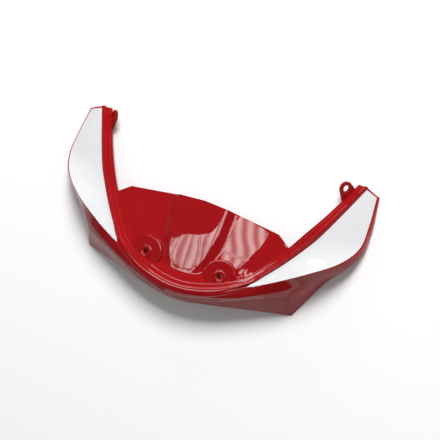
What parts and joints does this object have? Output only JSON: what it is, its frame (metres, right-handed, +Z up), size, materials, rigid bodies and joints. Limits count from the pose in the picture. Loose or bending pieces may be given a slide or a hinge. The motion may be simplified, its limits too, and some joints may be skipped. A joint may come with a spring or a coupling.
{
  "type": "motorcycle fairing cowl",
  "caption": "Moulded front cowl with swept side arms, pointed jaws, a raised deck between the arms, screw bosses and end ears.",
  "frame": {"origin": "centre of the bounding box's bottom face, on the floor that the cowl lies on", "axes": "+Z up, -Y towards the nose, +Y towards the ends of the arms, X across the width"},
  "size_m": [0.354, 0.176, 0.039],
  "materials": {
    "painted_shell": "gloss red paint with clear coat; the side fields are painted white in the visual model"
  },
  "bodies": {
    "root": {"cowl": "painted_shell"}
  },
  "joints": []
}
